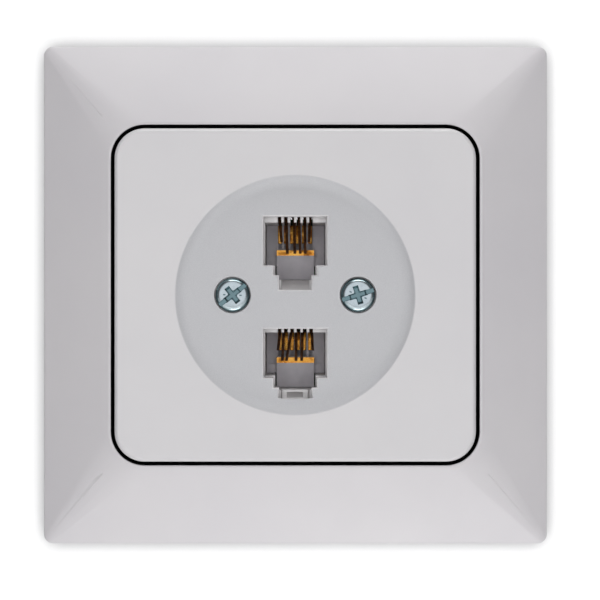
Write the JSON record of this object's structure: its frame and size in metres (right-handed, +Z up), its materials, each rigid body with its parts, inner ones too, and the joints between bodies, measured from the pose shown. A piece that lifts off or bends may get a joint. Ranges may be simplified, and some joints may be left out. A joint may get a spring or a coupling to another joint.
{
  "type": "telephone wall socket",
  "caption": "Flush telephone wall socket: sloped square surround, centre plate with a round dish, stacked modular jacks and a mounting insert with claws behind.",
  "frame": {"origin": "centre of the two wall box screw slots, on the strap's back face, which lies on the wall", "axes": "+X to the right seen from the room, +Z up, -Y out of the wall towards the room"},
  "size_m": [0.0822, 0.0316, 0.0812],
  "materials": {
    "surround_plastic": "satin lacquered moulding",
    "plate_plastic": "satin moulding with a finely textured dish",
    "jack_plastic": "plain moulding",
    "carrier_plastic": "plain grey moulding",
    "housing_plastic": "plain moulding",
    "terminal_plastic": "plain moulding",
    "board_laminate": "glass laminate with solder resist",
    "strap_steel": "zinc plated sheet",
    "claw_steel": "zinc plated sheet",
    "screw_zinc": "bright zinc plated",
    "claw_screw_zinc": "zinc plated",
    "blade_tin": "tin plated bronze",
    "contact_gold": "gold plated wire"
  },
  "bodies": {
    "root": {"surround_frame": "surround_plastic", "centre_plate": "plate_plastic", "mounting_strap": "strap_steel", "insert_housing": "housing_plastic", "circuit_board": "board_laminate", "board_screws": "screw_zinc", "cover_screw_left": "screw_zinc", "terminal_block_left": "terminal_plastic", "terminal_blade_left_1": "blade_tin", "terminal_blade_left_2": "blade_tin", "terminal_blade_left_3": "blade_tin", "terminal_blade_left_4": "blade_tin", "terminal_blade_left_5": "blade_tin", "terminal_blade_left_6": "blade_tin", "claw_screw_left": "claw_screw_zinc", "cover_screw_right": "screw_zinc", "terminal_block_right": "terminal_plastic", "terminal_blade_right_1": "blade_tin", "terminal_blade_right_2": "blade_tin", "terminal_blade_right_3": "blade_tin", "terminal_blade_right_4": "blade_tin", "terminal_blade_right_5": "blade_tin", "terminal_blade_right_6": "blade_tin", "claw_screw_right": "claw_screw_zinc", "jack_housing_upper": "jack_plastic", "contact_carrier_upper": "carrier_plastic", "contact_bar_upper": "contact_gold", "contact_wire_upper_1": "contact_gold", "contact_wire_upper_2": "contact_gold", "contact_wire_upper_3": "contact_gold", "contact_wire_upper_4": "contact_gold", "contact_wire_upper_5": "contact_gold", "contact_wire_upper_6": "contact_gold", "jack_housing_lower": "jack_plastic", "contact_carrier_lower": "carrier_plastic", "contact_bar_lower": "contact_gold", "contact_wire_lower_1": "contact_gold", "contact_wire_lower_2": "contact_gold", "contact_wire_lower_3": "contact_gold", "contact_wire_lower_4": "contact_gold", "contact_wire_lower_5": "contact_gold", "contact_wire_lower_6": "contact_gold"},
    "left_claw": {"claw_left": "claw_steel"},
    "right_claw": {"claw_right": "claw_steel"}
  },
  "joints": [
    {"name": "claw_left_swing", "type": "hinge", "parent": "root", "child": "left_claw", "pos_m": [-0.0192, 0.005, 0], "axis": [0, 0, 1], "range_deg": [0, 14]},
    {"name": "claw_right_swing", "type": "hinge", "parent": "root", "child": "right_claw", "pos_m": [0.0192, 0.005, 0], "axis": [0, 0, -1], "range_deg": [0, 14]}
  ]
}
